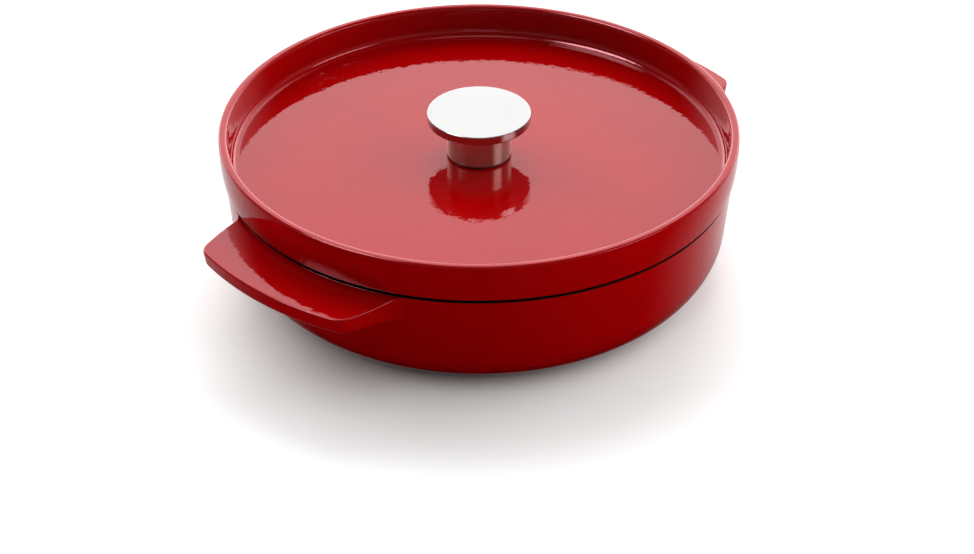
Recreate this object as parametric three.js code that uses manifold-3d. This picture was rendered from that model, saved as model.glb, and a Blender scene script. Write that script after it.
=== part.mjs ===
// Shallow round cast iron pot with a lift-off lid, enamelled, with a steel knob on the lid.
// Millimetres, +Z up. The origin is the middle of the base, on the surface that the pot stands on.
// The two side handles are cast in one with the pot and lie along X.
import * as THREE from 'three';
import { mergeVertices } from 'three/addons/utils/BufferGeometryUtils.js';
import Module from 'manifold-3d';

const wasm = await Module();
wasm.setup();

// Pot casting
const POT_RIM_RADIUS = 143.8; // outside, at the rim plane
const POT_HEIGHT = 64; // base to rim plane
const POT_DRAFT_DEG = 5.3; // how far the wall leans in on its way down
const POT_WALL = 4.4;
const POT_BASE = 4.8;
const POT_CORNER_RADIUS = 31.6; // outside, between wall and base
const POT_RIM_ROUND = 0.8;
const FOOT_RING_WIDTH = 12; // flat ring that the pot stands on
const FOOT_RECESS = 0.8; // the base inside that ring is cast this much higher

// Side handles
const HANDLE_REACH = 31.6; // past the rim's outside radius
const HANDLE_DROP = 1; // rim plane to the top of the handle
const HANDLE_TIP_THICKNESS = 10;
const HANDLE_ROOT_THICKNESS = 14;
const HANDLE_ROOT_HALF_DEG = 24.3; // half the angle that the root takes up, seen from the pot's axis
const HANDLE_TIP_HALF_DEG = 17.3;
const HANDLE_CORNER_RADIUS = 4.5; // seen from above
const HANDLE_TIP_LEAN_DEG = 9; // the outer face leans in on its way down
const HANDLE_TOP_ROUND = 1;
const HANDLE_UNDER_ROUND = 3;
const HANDLE_ROOT_FILLET = 4.5;

// Lid casting
const LID_HEIGHT = 22; // skirt edge to the top of the rim
const LID_OVERHANG = 0.9; // skirt edge past the pot's rim
const LID_FLARE = 1.3; // rim past the skirt edge
const LID_BULGE = 0.75; // the side swells this much past a straight cone
const LID_RIM_WIDTH = 4.9; // flat top of the rim
const LID_RIM_ROUND = 1.1;
const LID_SKIRT_ROUND = 0.6;
const LID_WELL_DEPTH = 19;
const LID_WELL_LEAN = 3; // the well's wall leans in this much from rim to floor
const LID_COVE_RADIUS = 4.6;
const LID_PLATE = 4;
const LID_SEAT_WIDTH = 2.4; // ring that rests on the pot's rim
const LID_LOCATOR_DEPTH = 5.8; // ring that keeps the lid centred in the pot
const LID_LOCATOR_WIDTH = 4;
const LOCATOR_CLEARANCE = 1; // between that ring and the pot's wall
const SEAM_GAP = 1; // open groove between skirt edge and rim plane
const SEAT_CLEARANCE = 0.3;
const DRIP_RING_COUNT = 3; // ridges that let condensate drip
const DRIP_RING_HEIGHT = 1.4;
const DRIP_RING_WIDTH = 6;

// Knob and its fastening
const KNOB_CAP_RADIUS = 29.1;
const KNOB_CAP_THICKNESS = 5;
const KNOB_CAP_ROUND = 0.5;
const KNOB_SPIGOT_HEIGHT = 2.5; // boss under the cap that centres it in the stem
const KNOB_STEM_RADIUS = 18.25;
const KNOB_STEM_WALL = 3;
const KNOB_STEM_LENGTH = 20.6;
const KNOB_STEM_ROUND = 0.4;
const GASKET_THICKNESS = 0.8;
const GASKET_INSET = 0.5; // gasket edge inside the stem's outside
const BUSH_RADIUS = 7.5; // threaded bush under the cap
const BUSH_LENGTH = 14;
const SCREW_RADIUS = 3;
const SCREW_ENGAGEMENT = 9; // length of screw inside the bush
const SCREW_HEAD_RADIUS = 6;
const SCREW_HEAD_HEIGHT = 3.6;
const SCREW_RECESS_LENGTH = 7;
const SCREW_RECESS_WIDTH = 1.5;
const SCREW_RECESS_DEPTH = 1.8;
const LID_HOLE_CLEARANCE = 0.6; // round the screw
const WASHER_CLEARANCE = 0.4;
const THREAD_CLEARANCE = 0.3;
const FLAT_WASHER_RADIUS = 8;
const FLAT_WASHER_THICKNESS = 1.2;
const LOCK_WASHER_RADIUS = 5.6;
const LOCK_WASHER_THICKNESS = 1.4;
const LOCK_WASHER_SPLIT = 0.9;
const STACK_GAP = 0.2; // between stacked pieces
const SPIGOT_CLEARANCE = 0.3;

// Facets
const CASTING_SIDES = 60;
const KNOB_SIDES = 48;
const SCREW_SIDES = 24;
const ARC_TOLERANCE = 0.09; // how far a facet may cut inside a rounding
const LARGEST_ROUNDING_SHARE = 0.98; // of the room that a rounding has on a side
const LID_SIDE_STEPS = 4; // straight lengths that follow the bulge of the lid's side
const HANDLE_ROUND_STEPS = 3; // along the root fillet, and along the corner at the tip
const HANDLE_EDGE_STEPS = 2;
const HANDLE_TIP_STEPS = 3; // along half the tip
const HANDLE_FLANK_STEPS = 2;
const POT_PLAIN_STEPS = 10; // from a handle's root to the Y axis

const degrees = THREE.MathUtils.degToRad;
const draft = Math.tan(degrees(POT_DRAFT_DEG));
const tipLean = Math.tan(degrees(HANDLE_TIP_LEAN_DEG));

// Heights that pieces share
const handleTopZ = POT_HEIGHT - HANDLE_DROP;
const handleJoinZ = handleTopZ - HANDLE_ROOT_THICKNESS - HANDLE_ROOT_FILLET;
const seatZ = POT_HEIGHT + SEAT_CLEARANCE;
const skirtZ = POT_HEIGHT + SEAM_GAP;
const lidTopZ = skirtZ + LID_HEIGHT;
const wellZ = lidTopZ - LID_WELL_DEPTH;
const plateZ = wellZ - LID_PLATE;
const locatorZ = seatZ - LID_LOCATOR_DEPTH;
const gasketZ = wellZ + STACK_GAP;
const stemZ = gasketZ + GASKET_THICKNESS + STACK_GAP;
const capZ = stemZ + KNOB_STEM_LENGTH + STACK_GAP;
const bushTopZ = capZ - KNOB_SPIGOT_HEIGHT - STACK_GAP;
const bushZ = bushTopZ - BUSH_LENGTH;
const flatWasherZ = plateZ - STACK_GAP - FLAT_WASHER_THICKNESS;
const lockWasherZ = flatWasherZ - STACK_GAP - LOCK_WASHER_THICKNESS;
const screwHeadZ = lockWasherZ - STACK_GAP - SCREW_HEAD_HEIGHT;
const screwTipZ = bushZ + SCREW_ENGAGEMENT;

// Radii that pieces share
const potInnerRimRadius = POT_RIM_RADIUS - POT_WALL;
const potOuterRadiusAt = (z) => POT_RIM_RADIUS - draft * (POT_HEIGHT - z);
const potInnerRadiusAt = (z) => potInnerRimRadius - draft * (POT_HEIGHT - z);
const handleWallRadius = potOuterRadiusAt(handleTopZ);
const handleLength = POT_RIM_RADIUS + HANDLE_REACH - handleWallRadius;
const skirtRadius = POT_RIM_RADIUS + LID_OVERHANG;
const lidRimRadius = skirtRadius + LID_FLARE;
const locatorRadius = potInnerRadiusAt(locatorZ) - LOCATOR_CLEARANCE;
const locatorInnerRadius = locatorRadius - LID_LOCATOR_WIDTH;
const lidHoleRadius = SCREW_RADIUS + LID_HOLE_CLEARANCE;
const washerBoreRadius = SCREW_RADIUS + WASHER_CLEARANCE;
const stemBoreRadius = KNOB_STEM_RADIUS - KNOB_STEM_WALL;

const enamel = { color: 0xa30a10, roughness: 0.12, metalness: 0 };
const brushedSteel = { color: 0xd9d7d4, roughness: 0.3, metalness: 1 };
const plainSteel = { color: 0xb9b9ba, roughness: 0.35, metalness: 1 };
const silicone = { color: 0x1b1a1a, roughness: 0.7, metalness: 0 };

// Turns corners [radius, z, rounding] into a polyline, with an arc at each rounded corner, tangent to both sides.
// A side is shared by the roundings at its two ends in proportion to them, and limits each to its share.
// The ends of an open outline stay sharp.
function roundedOutline(corners, closed) {
  const count = corners.length;
  const outline = [];
  corners.forEach(([x, y, rounding = 0], i) => {
    const corner = new THREE.Vector2(x, y);
    const isEnd = !closed && (i === 0 || i === count - 1);
    if (isEnd || rounding === 0) {
      outline.push(corner);
      return;
    }
    const [beforeX, beforeY, beforeRounding = 0] = corners[(i + count - 1) % count];
    const [afterX, afterY, afterRounding = 0] = corners[(i + 1) % count];
    const before = new THREE.Vector2(beforeX, beforeY).sub(corner);
    const after = new THREE.Vector2(afterX, afterY).sub(corner);
    const roomBefore = (before.length() * rounding) / (rounding + beforeRounding);
    const roomAfter = (after.length() * rounding) / (rounding + afterRounding);
    const room = LARGEST_ROUNDING_SHARE * Math.min(roomBefore, roomAfter);
    before.normalize();
    after.normalize();
    const half = Math.acos(THREE.MathUtils.clamp(before.dot(after), -1, 1)) / 2;
    const radius = Math.min(rounding, room * Math.tan(half));
    const middle = before.clone().add(after).normalize().multiplyScalar(radius / Math.sin(half)).add(corner);
    const start = before.multiplyScalar(radius / Math.tan(half)).add(corner).sub(middle);
    const end = after.multiplyScalar(radius / Math.tan(half)).add(corner).sub(middle);
    const turn = Math.atan2(start.cross(end), start.dot(end));
    const arcStep = 2 * Math.acos(1 - Math.min(0.5, ARC_TOLERANCE / radius));
    const steps = Math.ceil(Math.abs(turn) / arcStep);
    for (let k = 0; k <= steps; k++) {
      outline.push(start.clone().rotateAround(new THREE.Vector2(), (turn * k) / steps).add(middle));
    }
  });
  if (closed) outline.push(outline[0].clone());
  return outline;
}

// Revolves corners [radius, z, rounding] about Z. They run anticlockwise, with radius to the right.
function revolve(corners, sides) {
  const closed = corners[0][0] > 0;
  return new THREE.LatheGeometry(roundedOutline(corners, closed), sides).rotateX(Math.PI / 2);
}

// A tube with rounded ends, from bottom to top.
function ring(innerRadius, outerRadius, bottom, top, rounding, sides) {
  return revolve(
    [
      [innerRadius, bottom],
      [outerRadius, bottom, rounding],
      [outerRadius, top, rounding],
      [innerRadius, top],
    ],
    sides,
  );
}

// A closed geometry as a solid that can be joined and cut.
function solidOf(geometry) {
  const bare = geometry.index ? geometry.toNonIndexed() : geometry.clone();
  bare.deleteAttribute('normal');
  bare.deleteAttribute('uv');
  const merged = mergeVertices(bare, 1e-4);
  return new wasm.Manifold(
    new wasm.Mesh({
      numProp: 3,
      vertProperties: merged.attributes.position.array,
      triVerts: new Uint32Array(merged.index.array),
    }),
  );
}

function geometryOf(solid) {
  const mesh = solid.getMesh();
  const geometry = new THREE.BufferGeometry();
  geometry.setAttribute('position', new THREE.BufferAttribute(mesh.vertProperties, 3));
  geometry.setIndex(new THREE.BufferAttribute(mesh.triVerts, 1));
  geometry.computeVertexNormals();
  return geometry;
}

// Skins sections that stand side by side all the way round, each with the same number of points, bottom up.
// Points that fall together become one, and the faces that this closes are left out.
function skin(sections) {
  const positions = [];
  const known = new Map();
  const indexOf = (point) => {
    const key = point.toArray().map((value) => Math.round(value * 1e4) + 0).join();
    if (!known.has(key)) {
      known.set(key, known.size);
      positions.push(...point.toArray());
    }
    return known.get(key);
  };
  const columns = sections.map((section) => section.map(indexOf));
  const faces = [];
  const addFace = (a, b, c) => {
    if (a !== b && b !== c && c !== a) faces.push(a, b, c);
  };
  columns.forEach((column, j) => {
    const next = columns[(j + 1) % columns.length];
    for (let i = 0; i + 1 < column.length; i++) {
      addFace(column[i], next[i], next[i + 1]);
      addFace(column[i], next[i + 1], column[i + 1]);
    }
  });
  const geometry = new THREE.BufferGeometry();
  geometry.setAttribute('position', new THREE.Float32BufferAttribute(positions, 3));
  geometry.setIndex(faces);
  geometry.computeVertexNormals();
  return geometry;
}

// How far a quarter round of the given radius still stands back, at a distance before its end.
function standBack(radius, distance) {
  if (distance >= radius) return 0;
  return radius - Math.sqrt(Math.max(0, radius ** 2 - (radius - distance) ** 2));
}

// Half a handle seen from above, as points { angle, reach } from the middle of the tip to the end of the root:
// along the tip, round its corner, down the flank and out along the fillet at the wall.
function handleOutline() {
  const edge = (reach) => {
    const halfDeg = THREE.MathUtils.lerp(HANDLE_ROOT_HALF_DEG, HANDLE_TIP_HALF_DEG, reach / handleLength);
    const flare = standBack(HANDLE_ROOT_FILLET, reach);
    const corner = standBack(HANDLE_CORNER_RADIUS, handleLength - reach);
    return { angle: degrees(halfDeg) + (flare - corner) / (handleWallRadius + reach), reach };
  };
  const tipHalf = edge(handleLength).angle;
  const outline = [];
  for (let k = 0; k < HANDLE_TIP_STEPS; k++) {
    outline.push({ angle: (tipHalf * k) / HANDLE_TIP_STEPS, reach: handleLength });
  }
  for (let k = 0; k < HANDLE_ROUND_STEPS; k++) {
    const angle = (k / HANDLE_ROUND_STEPS) * (Math.PI / 2);
    outline.push(edge(handleLength - HANDLE_CORNER_RADIUS * (1 - Math.cos(angle))));
  }
  for (let k = 0; k < HANDLE_FLANK_STEPS; k++) {
    const share = k / HANDLE_FLANK_STEPS;
    outline.push(edge(THREE.MathUtils.lerp(handleLength - HANDLE_CORNER_RADIUS, HANDLE_ROOT_FILLET, share)));
  }
  for (let k = 0; k <= HANDLE_ROUND_STEPS; k++) {
    const angle = (k / HANDLE_ROUND_STEPS) * (Math.PI / 2);
    outline.push(edge(HANDLE_ROOT_FILLET * (1 - Math.sin(angle))));
  }
  return outline;
}

// The wall's way round a handle that stands out by reach, as points [radius, z] in a plane through the axis:
// out along the root fillet and the underside, round the lower edge, up the side and round the upper edge.
// Where the flank runs aslant, stretch keeps the edge rounds at their size. With no reach it is the plain wall.
function handleSection({ reach, stretch }) {
  const lowerRound = Math.min(HANDLE_UNDER_ROUND, (0.4 * reach) / stretch);
  const upperRound = Math.min(HANDLE_TOP_ROUND, (0.4 * reach) / stretch);
  const flatEnd = reach - stretch * lowerRound;
  const filletTurn = Math.acos(1 - Math.min(1, flatEnd / HANDLE_ROOT_FILLET));
  const underside = (out) => {
    const thickness = THREE.MathUtils.lerp(HANDLE_ROOT_THICKNESS, HANDLE_TIP_THICKNESS, out / handleLength);
    return handleTopZ - thickness - standBack(HANDLE_ROOT_FILLET, out);
  };
  const place = (out, z) => {
    const lean = THREE.MathUtils.lerp(draft, tipLean, out / handleLength);
    return new THREE.Vector2(handleWallRadius + out - lean * (handleTopZ - z), z);
  };
  const section = [];
  for (let k = 0; k <= HANDLE_ROUND_STEPS; k++) {
    const out = HANDLE_ROOT_FILLET * (1 - Math.cos((filletTurn * k) / HANDLE_ROUND_STEPS));
    section.push(place(out, underside(out)));
  }
  for (let k = 0; k <= HANDLE_EDGE_STEPS; k++) {
    const angle = (k / HANDLE_EDGE_STEPS) * (Math.PI / 2);
    const out = reach - stretch * lowerRound * (1 - Math.sin(angle));
    section.push(place(out, underside(out) + lowerRound * (1 - Math.cos(angle))));
  }
  for (let k = 0; k <= HANDLE_EDGE_STEPS; k++) {
    const angle = (1 - k / HANDLE_EDGE_STEPS) * (Math.PI / 2);
    const out = reach - stretch * upperRound * (1 - Math.sin(angle));
    section.push(place(out, handleTopZ - upperRound * (1 - Math.cos(angle))));
  }
  return section;
}

// Pot: a drafted bowl with a flat foot ring and two flat handles that grow out of its wall, cast in one. It is
// skinned from sections through the axis, which run from the middle of the base up the outside, round the handle,
// over the rim and down the inside. They are closest together along the handles' flanks.
function potGeometry() {
  const footRadius = potOuterRadiusAt(0) - POT_CORNER_RADIUS * Math.tan(degrees(45 - POT_DRAFT_DEG / 2));
  const recessRadius = footRadius - FOOT_RING_WIDTH;
  const below = roundedOutline(
    [
      [0, FOOT_RECESS],
      [recessRadius - FOOT_RECESS, FOOT_RECESS],
      [recessRadius, 0],
      [potOuterRadiusAt(0), 0, POT_CORNER_RADIUS],
      [potOuterRadiusAt(handleJoinZ), handleJoinZ],
    ],
    false,
  );
  const above = roundedOutline(
    [
      [handleWallRadius, handleTopZ],
      [POT_RIM_RADIUS, POT_HEIGHT, POT_RIM_ROUND],
      [potInnerRimRadius, POT_HEIGHT, POT_RIM_ROUND],
      [potInnerRadiusAt(POT_BASE), POT_BASE, POT_CORNER_RADIUS - POT_WALL],
      [0, POT_BASE],
    ],
    false,
  );
  const quarter = handleOutline();
  const rootAngle = quarter.at(-1).angle;
  for (let k = 1; k <= POT_PLAIN_STEPS; k++) {
    quarter.push({ angle: THREE.MathUtils.lerp(rootAngle, Math.PI / 2, k / POT_PLAIN_STEPS), reach: 0 });
  }
  quarter.forEach((column, i) => {
    const before = quarter[Math.max(0, i - 1)];
    const after = quarter[Math.min(quarter.length - 1, i + 1)];
    const slope = (after.reach - before.reach) / (after.angle - before.angle);
    column.stretch = Math.hypot(1, slope / (handleWallRadius + column.reach));
  });
  const mirrored = quarter.slice(1, -1).reverse().map((column) => ({ ...column, angle: Math.PI - column.angle }));
  const half = [...quarter, ...mirrored];
  const round = [...half, ...half.map((column) => ({ ...column, angle: column.angle + Math.PI }))];
  return skin(
    round.map((column) => {
      const section = [...below, ...handleSection(column), ...above];
      return section.map(({ x: radius, y: z }) => {
        return new THREE.Vector3(radius * Math.cos(column.angle), radius * Math.sin(column.angle), z);
      });
    }),
  );
}

// Lid: a flat plate at the bottom of a well, with a tall rim round it that swells outwards. Under the rim are
// the seat and the locating ring, and under the plate the drip rings.
function lidGeometry() {
  const side = [];
  for (let k = 1; k < LID_SIDE_STEPS; k++) {
    const share = k / LID_SIDE_STEPS;
    const swell = LID_BULGE * 4 * share * (1 - share);
    side.push([lidRimRadius - LID_FLARE * share + swell, lidTopZ - LID_HEIGHT * share]);
  }
  const ringPitch = locatorInnerRadius / (DRIP_RING_COUNT + 1);
  const dripRings = [];
  for (let k = DRIP_RING_COUNT; k >= 1; k--) {
    const middle = ringPitch * k;
    dripRings.push(
      [middle + DRIP_RING_WIDTH / 2, plateZ],
      [middle + DRIP_RING_WIDTH / 4, plateZ - DRIP_RING_HEIGHT],
      [middle - DRIP_RING_WIDTH / 4, plateZ - DRIP_RING_HEIGHT],
      [middle - DRIP_RING_WIDTH / 2, plateZ],
    );
  }
  const seatRadius = potInnerRimRadius + LID_SEAT_WIDTH;
  const wellRadius = lidRimRadius - LID_RIM_WIDTH;
  const corners = [
    [lidHoleRadius, wellZ],
    [wellRadius - LID_WELL_LEAN, wellZ, LID_COVE_RADIUS],
    [wellRadius, lidTopZ, LID_RIM_ROUND],
    [lidRimRadius, lidTopZ, LID_RIM_ROUND],
    ...side,
    [skirtRadius, skirtZ, LID_SKIRT_ROUND],
    [seatRadius, skirtZ],
    [seatRadius, seatZ],
    [locatorRadius, seatZ],
    [locatorRadius, locatorZ, LID_SKIRT_ROUND],
    [locatorInnerRadius, locatorZ, LID_SKIRT_ROUND],
    [locatorInnerRadius, plateZ],
    ...dripRings,
    [lidHoleRadius, plateZ],
  ];
  return revolve(corners.reverse(), CASTING_SIDES);
}

// Knob cap: a thin disc with a spigot that sits in the stem.
function knobCapGeometry() {
  const spigotRadius = stemBoreRadius - SPIGOT_CLEARANCE;
  const topZ = capZ + KNOB_CAP_THICKNESS;
  return revolve(
    [
      [0, capZ - KNOB_SPIGOT_HEIGHT],
      [spigotRadius, capZ - KNOB_SPIGOT_HEIGHT],
      [spigotRadius, capZ],
      [KNOB_CAP_RADIUS, capZ, KNOB_CAP_ROUND],
      [KNOB_CAP_RADIUS, topZ, KNOB_CAP_ROUND],
      [0, topZ],
    ],
    KNOB_SIDES,
  );
}

function knobStemGeometry() {
  const topZ = stemZ + KNOB_STEM_LENGTH;
  return ring(stemBoreRadius, KNOB_STEM_RADIUS, stemZ, topZ, KNOB_STEM_ROUND, KNOB_SIDES);
}

function knobGasketGeometry() {
  const outerRadius = KNOB_STEM_RADIUS - GASKET_INSET;
  return ring(stemBoreRadius, outerRadius, gasketZ, gasketZ + GASKET_THICKNESS, 0, KNOB_SIDES);
}

// Threaded bush: a blind bore that takes the screw from below.
function knobBushGeometry() {
  const boreRadius = SCREW_RADIUS + THREAD_CLEARANCE;
  const boreTopZ = screwTipZ + SCREW_RADIUS;
  return revolve(
    [
      [0, boreTopZ],
      [boreRadius, boreTopZ],
      [boreRadius, bushZ],
      [BUSH_RADIUS, bushZ, THREAD_CLEARANCE],
      [BUSH_RADIUS, bushTopZ],
      [0, bushTopZ],
    ],
    SCREW_SIDES,
  );
}

// Pan head screw with a cross recess, its head under the lid.
function screwGeometry() {
  const headTopZ = screwHeadZ + SCREW_HEAD_HEIGHT;
  const blank = revolve(
    [
      [0, screwHeadZ],
      [SCREW_HEAD_RADIUS, screwHeadZ, SCREW_HEAD_HEIGHT / 2],
      [SCREW_HEAD_RADIUS, headTopZ],
      [SCREW_RADIUS, headTopZ],
      [SCREW_RADIUS, screwTipZ, SCREW_RADIUS / 4],
      [0, screwTipZ],
    ],
    SCREW_SIDES,
  );
  const slot = new THREE.BoxGeometry(SCREW_RECESS_LENGTH, SCREW_RECESS_WIDTH, 2 * SCREW_RECESS_DEPTH);
  slot.translate(0, 0, screwHeadZ);
  const crossSlot = slot.clone().rotateZ(Math.PI / 2);
  return geometryOf(solidOf(blank).subtract(solidOf(slot)).subtract(solidOf(crossSlot)));
}

function flatWasherGeometry() {
  const topZ = flatWasherZ + FLAT_WASHER_THICKNESS;
  return ring(washerBoreRadius, FLAT_WASHER_RADIUS, flatWasherZ, topZ, 0, SCREW_SIDES);
}

// Spring lock washer: a ring with a slanting split through one side.
function lockWasherGeometry() {
  const topZ = lockWasherZ + LOCK_WASHER_THICKNESS;
  const blank = ring(washerBoreRadius, LOCK_WASHER_RADIUS, lockWasherZ, topZ, 0, SCREW_SIDES);
  const split = new THREE.BoxGeometry(LOCK_WASHER_RADIUS, LOCK_WASHER_SPLIT, 4 * LOCK_WASHER_THICKNESS);
  split.rotateX(Math.PI / 6);
  split.translate(LOCK_WASHER_RADIUS / 2 + washerBoreRadius / 2, 0, lockWasherZ + LOCK_WASHER_THICKNESS / 2);
  return geometryOf(solidOf(blank).subtract(solidOf(split)));
}

function piece(name, geometry, finish) {
  const mesh = new THREE.Mesh(geometry, new THREE.MeshStandardMaterial(finish));
  mesh.name = name;
  return mesh;
}

const knob = new THREE.Group();
knob.add(
  piece('knob_cap', knobCapGeometry(), brushedSteel),
  piece('knob_stem', knobStemGeometry(), brushedSteel),
  piece('knob_threaded_bush', knobBushGeometry(), plainSteel),
  piece('knob_gasket', knobGasketGeometry(), silicone),
  piece('knob_screw', screwGeometry(), plainSteel),
  piece('knob_flat_washer', flatWasherGeometry(), plainSteel),
  piece('knob_lock_washer', lockWasherGeometry(), plainSteel),
);

const lidAssembly = new THREE.Group();
lidAssembly.add(piece('lid', lidGeometry(), enamel), knob);

const castIronPot = new THREE.Group();
castIronPot.add(piece('pot_body', potGeometry(), enamel), lidAssembly);

export default castIronPot;
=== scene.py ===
"""A shallow cast iron pot in gloss red enamel, dressed on its CAD frame.

The pot and its lid are enamelled castings. The knob is turned steel, held by a screw through the lid. New
pieces are surfaces worked out on a grid, in metres, in the frame's own place.
"""

import logging
import math
from collections.abc import Sequence
from dataclasses import dataclass
from enum import Enum

import bpy
import numpy as np
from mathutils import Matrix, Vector


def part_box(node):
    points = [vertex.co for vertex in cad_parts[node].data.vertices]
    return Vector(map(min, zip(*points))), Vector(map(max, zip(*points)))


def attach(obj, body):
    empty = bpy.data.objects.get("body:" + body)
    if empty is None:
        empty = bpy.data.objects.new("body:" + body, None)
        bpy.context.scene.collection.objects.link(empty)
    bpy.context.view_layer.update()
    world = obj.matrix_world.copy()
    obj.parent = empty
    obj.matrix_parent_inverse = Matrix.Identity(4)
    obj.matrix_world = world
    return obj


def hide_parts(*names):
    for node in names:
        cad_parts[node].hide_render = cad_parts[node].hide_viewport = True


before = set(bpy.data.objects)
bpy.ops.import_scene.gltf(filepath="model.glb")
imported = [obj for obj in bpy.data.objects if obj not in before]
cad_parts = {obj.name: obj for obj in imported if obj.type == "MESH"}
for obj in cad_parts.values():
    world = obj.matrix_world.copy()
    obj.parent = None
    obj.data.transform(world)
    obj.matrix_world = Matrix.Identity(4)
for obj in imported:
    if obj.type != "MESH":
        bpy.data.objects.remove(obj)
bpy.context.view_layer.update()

LOG = logging.getLogger("cast_iron_pot")
MM = 0.001
MICRON = 1e-6
BEND_ATTRIBUTE = "edge_bend"
BEND_UNIT = 2 * MM
ARC_ROOM = 0.98
MOST_RUN_POINTS = 40
WELD_WIDTH = 0.5 * MICRON
Array = np.ndarray
Colour = tuple[float, float, float, float]
Span = tuple[float, float]
Band = tuple[float, float, float, float]
WHITE: Colour = (1.0, 1.0, 1.0, 1.0)


class Coat(Enum):
    """The enamels of a casting; the black rim coat is real matte rim enamel that also paints shade into the
    seam between lid and pot. The value is the material slot on its mesh.
    """

    OUTSIDE = 0
    INSIDE = 1
    RIM_AND_SEAM_SHADE = 2


class Value:
    """A number that changes over a surface: an output socket on which Python's operators add Math nodes."""

    def __init__(self, board: "NodeBoard", socket: bpy.types.NodeSocket) -> None:
        """Wraps an output socket of a node on a board."""
        self.board = board
        self.socket = socket

    def other(self, name: str) -> "Value":
        """Gives another output of the same node."""
        return Value(self.board, self.socket.node.outputs[name])

    def math(self, operation: str, *terms: "Term") -> "Value":
        """Adds a Math node with these terms as its inputs, and gives its result."""
        return self.board.node("ShaderNodeMath", {"operation": operation}, dict(enumerate(terms)))

    def __add__(self, term: "Term") -> "Value":
        """Gives self + term."""
        return self.math("ADD", self, term)

    def __radd__(self, term: "Term") -> "Value":
        """Gives term + self."""
        return self.math("ADD", term, self)

    def __sub__(self, term: "Term") -> "Value":
        """Gives self - term."""
        return self.math("SUBTRACT", self, term)

    def __rsub__(self, term: "Term") -> "Value":
        """Gives term - self."""
        return self.math("SUBTRACT", term, self)

    def __mul__(self, term: "Term") -> "Value":
        """Gives self * term."""
        return self.math("MULTIPLY", self, term)

    def __rmul__(self, term: "Term") -> "Value":
        """Gives term * self."""
        return self.math("MULTIPLY", term, self)

    def __pow__(self, term: "Term") -> "Value":
        """Gives self ** term."""
        return self.math("POWER", self, term)

    def smooth_step(self, low: float, high: float) -> "Value":
        """Rises smoothly from 0 at low to 1 at high."""
        inputs = {"Value": self, "From Min": low, "From Max": high}
        return self.board.node("ShaderNodeMapRange", {"interpolation_type": "SMOOTHSTEP"}, inputs)

    def within(self, start: float, full: float, fade: float, end: float) -> "Value":
        """Rises smoothly from 0 at start to 1 at full, and falls from 1 at fade to 0 at end."""
        return self.smooth_step(start, full) - self.smooth_step(fade, end)

    def between(self, start: float, end: float) -> "Value":
        """Goes from start to end as self goes from 0 to 1."""
        return self * (end - start) + start

    def around(self, middle: float, spread: float) -> "Value":
        """Goes from the spread below the middle to the spread above it as self goes from 0 to 1."""
        return self.between(middle - spread, middle + spread)


Term = Value | float


class NodeBoard:
    """The nodes of one material or world."""

    def __init__(self, tree: bpy.types.NodeTree) -> None:
        """Empties the node tree of a material or world, to build on it."""
        self.tree = tree
        tree.nodes.clear()

    def node(
        self,
        kind: str,
        settings: dict[str, object] | None = None,
        inputs: dict[object, object] | None = None,
        output: object = 0,
    ) -> Value | None:
        """Adds a node.

        Args:
            kind: The node's type.
            settings: Its settings, set first.
            inputs: Its sockets, by place, name or identifier, each with a value or a link.
            output: The place, name or identifier of the output to give back.

        Returns:
            That output, or None where the node has no outputs.
        """
        made = self.tree.nodes.new(kind)
        for name, setting in (settings or {}).items():
            setattr(made, name, setting)
        for key, term in (inputs or {}).items():
            socket = self._find(made.inputs, key)
            if isinstance(term, Value):
                self.tree.links.new(term.socket, socket)
            else:
                socket.default_value = term
        return Value(self, self._find(made.outputs, output)) if made.outputs else None

    @staticmethod
    def _find(sockets: bpy.types.bpy_prop_collection, key: object) -> bpy.types.NodeSocket:
        """Finds a socket.

        Args:
            sockets: A node's inputs or outputs.
            key: The socket's place, identifier or name.

        Returns:
            The socket.
        """
        if isinstance(key, int):
            return sockets[key]
        return next((s for s in sockets if s.identifier == key), None) or sockets[key]

    def place(self) -> Value:
        """Gives the object's own coordinates, in metres."""
        return self.node("ShaderNodeTexCoord", output="Object")

    def reach(self) -> Value:
        """Gives the distance from the Z axis, in metres."""
        x = self.node("ShaderNodeSeparateXYZ", None, {"Vector": self.place()}, "X")
        return (x * x + x.other("Y") * x.other("Y")) ** 0.5

    def noise(self, place: Value, width: float, detail: float = 2.0, roughness: float = 0.5) -> Value:
        """Adds a cloud of noise around 0.5, with its widest waves in metres and finer layers on them."""
        inputs = {"Vector": place, "Scale": 1.0 / width, "Detail": detail, "Roughness": roughness}
        return self.node("ShaderNodeTexNoise", None, inputs, "Fac")

    def mix(self, share: Term, first: object, second: object) -> Value:
        """Mixes two colours: the first at 0, the second at 1."""
        inputs = {"Factor_Float": share, "A_Color": first, "B_Color": second}
        return self.node("ShaderNodeMix", {"data_type": "RGBA"}, inputs, "Result_Color")

    def bump(self, height: Value) -> Value:
        """Turns a height in metres into a normal."""
        inputs = {"Height": height, "Strength": 1.0, "Distance": 1.0}
        return self.node("ShaderNodeBump", None, inputs, "Normal")

    def surface(self, inputs: dict[object, object]) -> None:
        """Ends a material with a Principled shader that has these inputs."""
        shader = self.node("ShaderNodeBsdfPrincipled", None, inputs)
        self.node("ShaderNodeOutputMaterial", None, {"Surface": shader})


def new_material(name: str) -> tuple[bpy.types.Material, NodeBoard]:
    """Makes an empty material.

    Args:
        name: Its name.

    Returns:
        The material and its board.
    """
    material = bpy.data.materials.new(name)
    material.use_nodes = True
    return material, NodeBoard(material.node_tree)


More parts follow.
